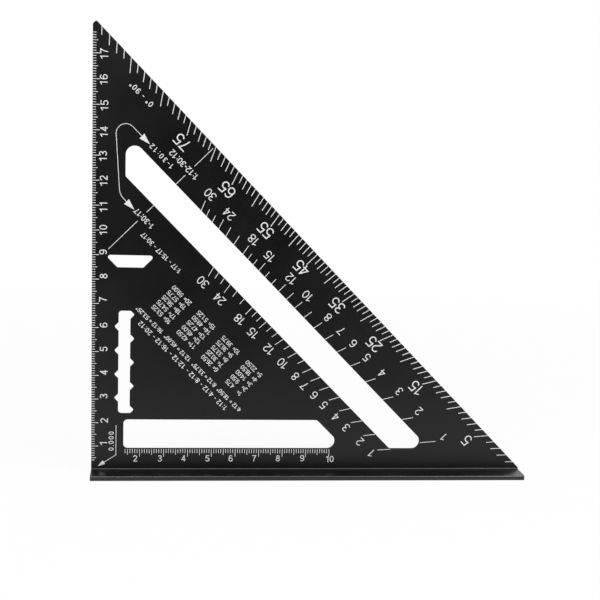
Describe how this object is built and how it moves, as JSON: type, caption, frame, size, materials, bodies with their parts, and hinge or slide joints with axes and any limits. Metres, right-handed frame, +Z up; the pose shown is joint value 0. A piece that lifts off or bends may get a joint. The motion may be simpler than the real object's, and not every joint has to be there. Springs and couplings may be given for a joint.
{
  "type": "rafter square",
  "caption": "Metric rafter square: right-angled triangular blade with slots and scribing notches on a T-shaped fence, with millimetre, degree and rafter scales printed on one face.",
  "frame": {"origin": "middle of the fence's underside", "axes": "+X along the fence from the square edge to the toe, -Y out of the printed face, +Z up the square edge"},
  "size_m": [0.1832, 0.024, 0.1844],
  "materials": {
    "blade_anodised": "black anodised, satin",
    "fence_anodised": "black anodised, satin",
    "print": "matt white print"
  },
  "bodies": {
    "root": {"blade": "blade_anodised", "fence": "fence_anodised", "edge_scale": "print", "slot_scale": "print", "degree_scale": "print", "common_rafter_scale": "print", "hip_rafter_scale": "print", "pivot_arrow": "print", "cut_arrow": "print", "divider_line": "print"}
  },
  "joints": []
}
